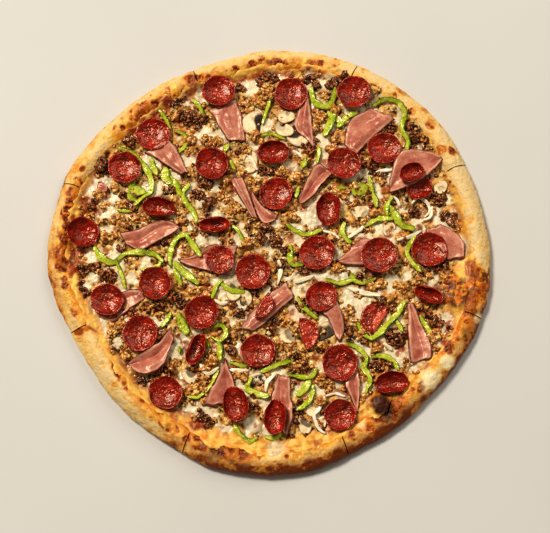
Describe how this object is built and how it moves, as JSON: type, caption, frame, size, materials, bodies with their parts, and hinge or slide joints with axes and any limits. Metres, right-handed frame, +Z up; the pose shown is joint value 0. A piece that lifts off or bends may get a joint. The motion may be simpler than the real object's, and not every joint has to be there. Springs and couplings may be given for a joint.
{
  "type": "new york-style pizza",
  "caption": "Large round New York-style pizza with a puffed browned rim, cut into wedges that lie together, topped with cheese, pepperoni, ham, green pepper, onion, mushroom and ground meat",
  "frame": {"origin": "middle of the bounding box at the height of the flat underside", "axes": "+Z up out of the toppings; +Y points away from the viewer of the picture; +X to the right"},
  "size_m": [0.456, 0.4464, 0.0279],
  "materials": {
    "crust": "baked dough, pale cream to golden with brown blisters, matte",
    "cheese": "melted cheese with ground meat, soft oily sheen",
    "pepperoni": "oily red cured sausage with fat specks and darker edge",
    "ham": "pink cooked ham, moist sheen, darker baked edges"
  },
  "bodies": {
    "root": {"crust_slice_1": "crust", "crust_slice_2": "crust", "crust_slice_3": "crust", "crust_slice_4": "crust", "crust_slice_5": "crust", "crust_slice_6": "crust", "crust_slice_7": "crust", "crust_slice_8": "crust", "cheese_bed": "cheese", "pepperoni_01": "pepperoni", "pepperoni_02": "pepperoni", "pepperoni_03": "pepperoni", "pepperoni_04": "pepperoni", "pepperoni_05": "pepperoni", "pepperoni_06": "pepperoni", "pepperoni_07": "pepperoni", "pepperoni_08": "pepperoni", "pepperoni_09": "pepperoni", "pepperoni_10": "pepperoni", "pepperoni_11": "pepperoni", "pepperoni_12": "pepperoni", "pepperoni_13": "pepperoni", "pepperoni_14": "pepperoni", "pepperoni_15": "pepperoni", "pepperoni_16": "pepperoni", "pepperoni_17": "pepperoni", "pepperoni_18": "pepperoni", "pepperoni_19": "pepperoni", "pepperoni_20": "pepperoni", "pepperoni_21": "pepperoni", "pepperoni_22": "pepperoni", "pepperoni_23": "pepperoni", "pepperoni_24": "pepperoni", "pepperoni_25": "pepperoni", "pepperoni_26": "pepperoni", "pepperoni_27": "pepperoni", "pepperoni_28": "pepperoni", "pepperoni_29": "pepperoni", "pepperoni_30": "pepperoni", "pepperoni_31": "pepperoni", "pepperoni_32": "pepperoni", "pepperoni_33": "pepperoni", "pepperoni_34": "pepperoni", "pepperoni_35": "pepperoni", "pepperoni_36": "pepperoni", "pepperoni_37": "pepperoni", "pepperoni_38": "pepperoni", "ham_01": "ham", "ham_02": "ham", "ham_03": "ham", "ham_04": "ham", "ham_05": "ham", "ham_06": "ham", "ham_07": "ham", "ham_08": "ham", "ham_09": "ham", "ham_10": "ham", "ham_11": "ham", "ham_12": "ham", "ham_13": "ham"}
  },
  "joints": []
}
